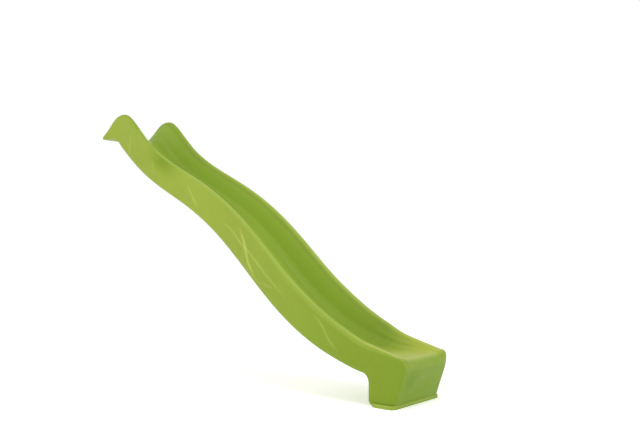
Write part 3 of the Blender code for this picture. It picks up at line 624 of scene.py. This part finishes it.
def mould_creases(shell, material):
    """Raise the creases along their lines and sink the hollow; paint each crease's highlight and
    the hollow's shade.
    """
    tree = Tree("moulded_creases")
    position = tree.node('GeometryNodeInputPosition').outputs[0]
    x, y, z = (Wire(tree, out) for out in
               tree.node('ShaderNodeSeparateXYZ', {0: position}).outputs)
    side_view = tree.node('ShaderNodeCombineXYZ', {"X": x, "Z": z}).outputs[0]
    reach = tree.input("Highlight Reach", 'Float', HIGHLIGHT_REACH)
    relief, rim_and_crease_highlight, lines = 0.0, tree.attribute("edge_wear"), []
    for number, (points, *sizes) in enumerate(CREASES, 1):
        title = "Crease %d " % number
        lines.append(crease_line("crease_%d" % number, points))
        line = tree.input(title + "Line", 'Object', lines[-1])
        height, width, fade, highlight_strength = (
            tree.input(title + word, 'Float', size)
            for word, size in zip(("Height", "Width", "Fade", "Painted Highlight"), sizes))
        line = tree.node('GeometryNodeObjectInfo', {"Object": line}).outputs["Geometry"]
        near = tree.node('GeometryNodeProximity', {0: line, "Sample Position": side_view},
                         target_element='EDGES')
        nearest = tree.node('GeometryNodeSampleNearest',
                            {0: line, "Sample Position": side_view}).outputs[0]
        below, ends = (
            tree.node('GeometryNodeSampleIndex', {0: line, 1: tree.attribute(word, kind),
                                                  "Index": nearest}, data_type=kind).outputs[0]
            for word, kind in (("below", 'FLOAT_VECTOR'), ("end_share", 'FLOAT')))
        gap = tree.node('ShaderNodeVectorMath', {0: side_view, 1: near.outputs["Position"]},
                        operation='SUBTRACT').outputs[0]
        side = tree.node('ShaderNodeVectorMath', {0: gap, 1: below}, operation='DOT_PRODUCT')
        distance = Wire(tree, near.outputs["Distance"])
        depth = distance * tree.maths('SIGN', Wire(tree, side.outputs["Value"]))
        step = Wire(tree, tree.node('ShaderNodeMapRange', {
            "Value": depth, "From Min": width * -0.5, "From Max": width * 0.5},
            interpolation_type='SMOOTHSTEP').outputs[0])
        fall = tree.maths('EXPONENT', -(tree.maths('MAXIMUM', depth, 0.0) / fade))
        ends = Wire(tree, ends)
        relief = height * ends * step * fall + relief
        spread = distance / reach
        # Painted highlight along each crease's edge
        rim_and_crease_highlight = (highlight_strength * ends * tree.maths('EXPONENT', -(spread * spread))
                * tree.attribute("wall_share") + rim_and_crease_highlight)
    (middle_x, middle_z), slope, *sizes = HOLLOW
    long, tall, depth = (tree.input("Hollow " + word, 'Float', size)
                         for word, size in zip(("Length", "Height", "Depth"), sizes))
    along = ((x - middle_x) * math.cos(slope) - (z - middle_z) * math.sin(slope)) / long
    across = ((x - middle_x) * math.sin(slope) + (z - middle_z) * math.cos(slope)) / tall
    hollow = tree.maths('EXPONENT', -(along * along + across * across))
    relief = (relief - depth * hollow) * tree.attribute("wall_share") * tree.maths('SIGN', y)
    shift = tree.node('ShaderNodeCombineXYZ', {"Y": relief}).outputs[0]
    # Painted shade in the hollow, joined to the skin's other painted shade
    deep = tree.maths('MAXIMUM', hollow * tree.attribute("outer_share"),
                      tree.attribute("deep_share"))
    made = tree.inputs.outputs["Geometry"]
    for word, value in (("edge_wear", rim_and_crease_highlight), ("deep_share", deep)):
        made = tree.node('GeometryNodeStoreNamedAttribute', {
            "Geometry": made, "Name": word, "Value": value}).outputs[0]
    made = tree.node('GeometryNodeSetPosition', {"Geometry": made, "Offset": shift}).outputs[0]
    tree.apply(shell, made, material)
    for line in lines:
        bpy.data.objects.remove(line)
    return shell


def marks(name, rows):
    """A mesh of single points with an axis and a scale each, for cutters to stand on."""
    obj = mesh_object(name, [row[0] for row in rows], [])
    axes = obj.data.attributes.new("axis", 'FLOAT_VECTOR', 'POINT')
    axes.data.foreach_set("vector", np.array([row[1] for row in rows], np.float32).ravel())
    sizes = obj.data.attributes.new("size", 'FLOAT_VECTOR', 'POINT')
    sizes.data.foreach_set("vector", np.array([row[2] for row in rows], np.float32).ravel())
    return obj


def drill_row(surface, axis, drill):
    """The row of a round hole's mark, for a drill that comes out through a surface."""
    below, radius, length = drill
    return surface - axis * below, axis, (radius, radius, length)


def cut_pockets(shell, material):
    """Cut the weld pockets and the round holes, each a cone or drill that stands on a mark."""
    pockets = []
    pitch = (POCKET_END - POCKET_START) / (POCKET_ROWS - 1)
    for row in range(POCKET_ROWS):
        place = POCKET_START + row * pitch
        for side in (-1, 1):
            pockets.append((place, side * POCKET_SPREAD, POCKET_RADIUS))
    pockets.append((INLET_PLACE, 0.0, INLET_POCKET_RADIUS))
    pocket_rows = []
    for place, y, radius in pockets:
        up = lean_to(slope_at(place))
        depth = smooth(FLOORS, place) + 2 * SKIN
        wide = radius / POCKET_RADIUS
        base = bed_point(place) - up * depth + np.array((0.0, y, 0.0))
        pocket_rows.append((base, up, (wide, wide, (depth - 2 * SKIN) / STEEP_FLOOR)))
    hole_rows = []
    for i in range(SCREW_COUNT):
        y = (i - (SCREW_COUNT - 1) / 2) * SCREW_PITCH
        hole_rows.append(drill_row(np.array((0.0, y, 0.0)), flat(0.0, 1.0), SCREW_DRILL))
    up = lean_to(slope_at(INLET_PLACE))
    seat = bed_point(INLET_PLACE)
    hole_rows.append(drill_row(seat, up, NOZZLE_DRILL))
    hole_rows.append(drill_row(seat, up, NOZZLE_SEAT_DRILL))
    for plug in ("blow_plug_right", "blow_plug_left"):
        middle = np.mean(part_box(plug), axis=0)
        back = np.array((FOOT_BACK, middle[1], middle[2]))
        hole_rows.append(drill_row(back, flat(1.0, 0.0), PLUG_DRILL))

    tree = Tree("weld_pockets_and_holes")
    pocket_marks = tree.input("Pocket Marks", 'Object', marks("pocket_marks", pocket_rows))
    hole_marks = tree.input("Hole Marks", 'Object', marks("hole_marks", hole_rows))
    radius = tree.input("Pocket Radius", 'Float', POCKET_RADIUS)
    mouth = tree.input("Pocket Mouth Radius", 'Float', POCKET_RADIUS + POCKET_FLARE)
    depth = tree.input("Pocket Depth", 'Float', STEEP_FLOOR)
    cone = tree.node('GeometryNodeMeshCone', {
        "Vertices": ROUND_SIDES, "Radius Top": radius, "Radius Bottom": mouth, "Depth": depth})
    drill = tree.node('GeometryNodeMeshCylinder', {
        "Vertices": ROUND_SIDES, "Radius": 1.0, "Depth": 1.0})
    half = tree.node('ShaderNodeCombineXYZ', {"Z": 0.5})
    drill = tree.node('GeometryNodeTransform', {0: drill.outputs["Mesh"],
                                                "Translation": half.outputs[0]})
    cutters = tree.node('GeometryNodeJoinGeometry')
    for where, shape in ((pocket_marks, cone.outputs["Mesh"]), (hole_marks, drill.outputs[0])):
        info = tree.node('GeometryNodeObjectInfo', {"Object": where})
        axis = tree.node('GeometryNodeInputNamedAttribute', {"Name": "axis"},
                         data_type='FLOAT_VECTOR')
        size = tree.node('GeometryNodeInputNamedAttribute', {"Name": "size"},
                         data_type='FLOAT_VECTOR')
        turn = tree.node('FunctionNodeAlignRotationToVector', {"Vector": axis.outputs[0]},
                         axis='Z')
        stood = tree.node('GeometryNodeInstanceOnPoints', {
            "Points": info.outputs["Geometry"], "Instance": shape,
            "Rotation": turn.outputs[0], "Scale": size.outputs[0]})
        real = tree.node('GeometryNodeRealizeInstances', {0: stood.outputs[0]})
        tree.group.links.new(real.outputs[0], cutters.inputs[0])
    cut = tree.node('GeometryNodeMeshBoolean', {"Mesh 1": tree.inputs.outputs["Geometry"],
                                                "Mesh 2": cutters.outputs[0]},
                    operation='DIFFERENCE', solver='EXACT')
    tree.apply(shell, cut.outputs["Mesh"], material)
    for name in ("pocket_marks", "hole_marks"):
        bpy.data.objects.remove(bpy.data.objects[name])
    return shell


def foot_flange():
    """The plate round the foot's sole."""
    back = FOOT_BACK + HEEL + FLANGE_CORNER
    front = FACE_FRONT + FLANGE_REACH - FLANGE_CORNER
    side = FLANGE_HALF_WIDTH - FLANGE_CORNER
    bm = bmesh.new()
    low = []
    corners = ((front, side), (back, side), (back, -side), (front, -side))
    for quarter, (x, y) in enumerate(corners):
        for i in range(FLANGE_STEPS + 1):
            turn = (quarter + i / FLANGE_STEPS) * math.pi / 2
            low.append(bm.verts.new((x + FLANGE_CORNER * math.cos(turn),
                                     y + FLANGE_CORNER * math.sin(turn), -PLATFORM_HEIGHT)))
    raised = bmesh.ops.extrude_face_region(bm, geom=[bm.faces.new(low)])
    top = [v for v in raised['geom'] if isinstance(v, bmesh.types.BMVert)]
    bmesh.ops.translate(bm, verts=top, vec=(0.0, 0.0, FLANGE_THICKNESS))
    bmesh.ops.recalc_face_normals(bm, faces=bm.faces[:])
    rims = [e for e in bm.edges if all(v in top for v in e.verts)]
    bmesh.ops.bevel(bm, geom=rims, offset=FLANGE_EDGE, segments=FLANGE_EDGE_STEPS,
                    profile=0.5, affect='EDGES')
    mesh = bpy.data.meshes.new("foot_flange")
    bm.to_mesh(mesh)
    bm.free()
    obj = bpy.data.objects.new("foot_flange", mesh)
    bpy.context.scene.collection.objects.link(obj)
    return obj


def paint_flange_highlight(flange):
    """Note on the flange's upper part how strongly a painted highlight pales it."""
    heights = np.array([v.co.z for v in flange.data.vertices]) + PLATFORM_HEIGHT
    upper = heights > FLANGE_HIGHLIGHT_ABOVE * FLANGE_THICKNESS
    highlight_strength = flange.data.attributes.new("edge_wear", 'FLOAT', 'POINT')
    highlight_strength.data.foreach_set("value", (FLANGE_HIGHLIGHT * upper).astype(np.float32))


class Finish:
    """A material round one Principled shader."""

    def __init__(self, name, colour, **constants):
        self.material = bpy.data.materials.new(name)
        self.material.use_nodes = True
        self.material.diffuse_color = (*colour, 1.0)
        self.tree = self.material.node_tree
        self.shader = self.tree.nodes["Principled BSDF"]
        self.shader.inputs["Base Color"].default_value = (*colour, 1.0)
        for key, value in constants.items():
            self.shader.inputs[key.replace("_", " ")].default_value = value
        self.place = self.node('ShaderNodeTexCoord', {}, {}, "Object")

    def maths(self, operation, a, b=0.0):
        return self.node('ShaderNodeMath', {'operation': operation}, {0: a, 1: b})

    def node(self, kind, settings, inputs, output=0):
        node = self.tree.nodes.new(kind)
        for key, value in settings.items():
            setattr(node, key, value)
        for key, value in inputs.items():
            if isinstance(value, Wire):
                self.tree.links.new(value.socket, node.inputs[key])
            else:
                node.inputs[key].default_value = value
        return Wire(self, node.outputs[output])

    def noise(self, scale, detail=2.0, roughness=0.5, stretch=(1.0, 1.0, 1.0)):
        place = self.place
        if stretch != (1.0, 1.0, 1.0):
            place = self.node('ShaderNodeMapping', {}, {"Vector": place, "Scale": stretch})
        return self.node('ShaderNodeTexNoise', {}, {
            "Vector": place, "Scale": scale, "Detail": detail, "Roughness": roughness})

    def between(self, value, low, high):
        return self.node('ShaderNodeMapRange', {'clamp': True}, {
            "Value": value, "From Min": low, "From Max": high})

    def mix(self, share, a, b):
        mixer = self.tree.nodes.new('ShaderNodeMix')
        mixer.data_type = 'RGBA'
        for key, value in ((0, share), (6, a), (7, b)):
            if isinstance(value, Wire):
                self.tree.links.new(value.socket, mixer.inputs[key])
            elif key == 0:
                mixer.inputs[key].default_value = value
            else:
                mixer.inputs[key].default_value = (*value, 1.0)
        return Wire(self, mixer.outputs[2])

    def attribute(self, name):
        return self.node('ShaderNodeAttribute', {'attribute_name': name}, {}, "Fac")

    def drive(self, socket, wire):
        self.tree.links.new(wire.socket, self.shader.inputs[socket])

    def bump(self, height, distance, strength=1.0):
        self.drive("Normal", self.node('ShaderNodeBump', {}, {
            "Strength": strength, "Distance": distance, "Height": height}))


def tint(colour, factor):
    return tuple(c * factor for c in colour)


def polyethylene():
    """Satin green blow-moulded plastic: a fine grain, faint flow marks and polish on the bed."""
    finish = Finish("green_polyethylene", GREEN, Roughness=0.42, IOR=1.50,
                    Specular_IOR_Level=0.15)
    flow = finish.noise(2.6, detail=3.0, roughness=0.55, stretch=(1.0, 2.4, 1.0))
    mottle = finish.noise(26.0, 3.0, 0.6)
    deep = finish.mix(finish.between(flow, 0.30, 0.70), tint(GREEN, 0.93), tint(GREEN, 1.07))
    pale = finish.mix(finish.between(mottle, 0.35, 0.75) * 0.5, deep,
                      (GREEN[0] * 1.10, GREEN[1] * 1.06, GREEN[2] * 1.5))
    bed = finish.attribute("bed_share")
    streaks = finish.noise(9.0, detail=4.0, roughness=0.62, stretch=(0.35, 26.0, 0.35))
    scuffs = finish.between(streaks, 0.58, 0.72) * bed
    # Painted light on the inner walls
    inner_light = finish.attribute("inner_light_paint")
    painted_highlight = finish.attribute("edge_wear")
    # Painted shade
    painted_shade = finish.attribute("deep_share")
    shaded = finish.mix(painted_shade, finish.mix(inner_light, pale, INNER_LIT_GREEN), SHADE_GREEN)
    # Painted light on the landing
    landing = finish.attribute("landing_light_paint")
    # Paler colour for real scuffs and for the painted highlights
    colour = finish.mix(scuffs * SCUFF_PALING + painted_highlight * HIGHLIGHT_PALING, shaded, WEAR_AND_HIGHLIGHT_GREEN)
    colour = finish.mix(landing * LANDING_LIGHT_PALING, colour, LANDING_LIT_GREEN)
    finish.drive("Base Color", colour)
    finish.drive("Roughness", 0.40 + finish.between(mottle, 0.3, 0.8) * 0.07
                 + scuffs * 0.16 - bed * 0.03)
    grain = finish.noise(620.0, 2.0, 0.5)
    peel = finish.noise(85.0, 2.0, 0.5)
    finish.bump(grain * 0.3 + peel * 0.75 + scuffs * 0.2, 0.0007, 0.5)
    return finish.material


def fitting_plastic(name, colour, roughness):
    """Injection-moulded plastic of the small fittings, with a fine sparked grain."""
    finish = Finish(name, colour, Roughness=roughness, IOR=1.49)
    cloud = finish.noise(70.0, 3.0, 0.6)
    finish.drive("Base Color", finish.mix(finish.between(cloud, 0.3, 0.7), tint(colour, 0.88),
                                          tint(colour, 1.12)))
    finish.drive("Roughness", roughness - 0.05 + cloud * 0.12)
    finish.bump(finish.noise(1500.0, 2.0, 0.6), 0.0002, 0.4)
    return finish.material


def metal(name, colour, roughness, scale):
    """Plated or turned metal, with fine turning marks and faint stains."""
    finish = Finish(name, colour, Metallic=1.0, Roughness=roughness)
    stain = finish.noise(scale, 4.0, 0.6)
    turned_marks = finish.noise(900.0, stretch=(0.2, 0.2, 3.0))
    finish.drive("Base Color", finish.mix(finish.between(stain, 0.35, 0.75), colour,
                                          tint(colour, 0.78)))
    finish.drive("Roughness", roughness - 0.06 + stain * 0.16)
    finish.bump(turned_marks, 0.00015, 0.35)
    return finish.material


def seal_rubber():
    finish = Finish("black_rubber", BLACK, Roughness=0.75, IOR=1.52)
    dust = finish.noise(180.0, 3.0, 0.6)
    finish.drive("Base Color", finish.mix(finish.between(dust, 0.5, 0.8) * 0.5, BLACK,
                                          (0.06, 0.06, 0.06)))
    finish.drive("Roughness", 0.66 + dust * 0.18)
    finish.bump(finish.noise(1200.0), 0.0002, 0.5)
    return finish.material


def floor_finish():
    finish = Finish("pale_floor", (0.90, 0.90, 0.90), Roughness=0.85, Emission_Strength=0.34)
    finish.shader.inputs["Emission Color"].default_value = (1.0, 1.0, 1.0, 1.0)
    cloud = finish.noise(0.6, 2.0)
    finish.drive("Base Color", finish.mix(cloud, (0.89, 0.89, 0.89), (0.91, 0.91, 0.91)))
    return finish.material


def studio_dome():
    """Surroundings that are white at eye level, with their own strengths higher up."""
    world = bpy.data.worlds.new("studio")
    world.use_nodes = True
    nodes, links = world.node_tree.nodes, world.node_tree.links
    direction = nodes.new('ShaderNodeTexCoord')
    split = nodes.new('ShaderNodeSeparateXYZ')
    links.new(direction.outputs["Generated"], split.inputs[0])
    strength = nodes.new('ShaderNodeMath')
    strength.operation = 'ADD'
    for i, values in enumerate(((*MIDDLE_BAND, WALLS_LIGHT, MIDDLE_LIGHT),
                                (*CEILING_BAND, 0.0, CEILING_LIGHT - MIDDLE_LIGHT))):
        band = nodes.new('ShaderNodeMapRange')
        band.interpolation_type = 'SMOOTHSTEP'
        for name, value in zip(("From Min", "From Max", "To Min", "To Max"), values):
            band.inputs[name].default_value = value
        links.new(split.outputs["Z"], band.inputs["Value"])
        links.new(band.outputs[0], strength.inputs[i])
    links.new(strength.outputs[0], nodes["Background"].inputs["Strength"])
    nodes["Background"].inputs["Color"].default_value = (1.0, 1.0, 1.0, 1.0)
    return world


def studio():
    """Camera at the photograph's angle, a pale floor and soft light."""
    scene = bpy.context.scene
    scene.view_settings.view_transform = 'Standard'
    scene.view_settings.look = 'None'
    camera = bpy.data.objects.new("camera", bpy.data.cameras.new("camera"))
    camera.data.sensor_width = CAMERA_SENSOR
    camera.data.lens = CAMERA_LENS
    camera.location = CAMERA_PLACE
    camera.rotation_euler = (math.radians(CAMERA_TILT), 0.0, math.radians(CAMERA_TURN))
    camera.data.clip_end = CAMERA_FARTHEST
    scene.collection.objects.link(camera)
    scene.camera = camera

    scene.world = studio_dome()

    corners = [(x * FLOOR_REACH, y * FLOOR_REACH, -PLATFORM_HEIGHT)
               for x, y in ((-1, -1), (1, -1), (1, 1), (-1, 1))]
    floor = mesh_object("floor", corners, [(0, 1, 2, 3)])
    floor.data.materials.append(floor_finish())

    for name, place, size, power, colour in LIGHTS:
        light = bpy.data.objects.new(name, bpy.data.lights.new(name, 'AREA'))
        light.data.size = size
        light.data.energy = power
        light.data.color = colour
        light.location = place
        aim = Vector(LIGHT_AIM) - Vector(place)
        light.rotation_euler = aim.to_track_quat('-Z', 'Y').to_euler()
        scene.collection.objects.link(light)


def dress_node(nodes, names, material):
    """Give the solids of some nodes a material."""
    for name in names:
        for slot in nodes[name].material_slots:
            slot.material = material


def main():
    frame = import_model()
    nodes = frame["nodes"]
    green = polyethylene()
    dark_green = fitting_plastic("dark_green_plastic", DARK_GREEN, 0.45)
    black = fitting_plastic("black_plastic", BLACK, 0.48)
    zinc = metal("zinc_plated_steel", ZINC, 0.34, 240.0)
    brass = metal("brass", BRASS, 0.28, 160.0)
    rubber = seal_rubber()

    shell = cut_pockets(mould_creases(chute_skin(), green), green)
    smooth_shade(shell)
    flange = foot_flange()
    flange.data.materials.append(green)
    smooth_shade(flange, 40.0)
    paint_flange_highlight(flange)
    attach(shell, "root")
    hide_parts("chute_body")
    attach(flange, "root")

    words = ("outer_right", "inner_right", "inner_left", "outer_left")
    dress_node(nodes, ["lip_screw_" + w for w in words], zinc)
    dress_node(nodes, ["lip_washer_" + w for w in words], zinc)
    dress_node(nodes, ["lip_screw_cap_" + w for w in words], dark_green)
    dress_node(nodes, ["spray_nozzle", "blow_plug_right", "blow_plug_left"], dark_green)
    dress_node(nodes, ["nozzle_seal"], rubber)
    dress_node(nodes, ["nozzle_nut"], black)
    dress_node(nodes, ["hose_tail"], brass)

    studio()


main()
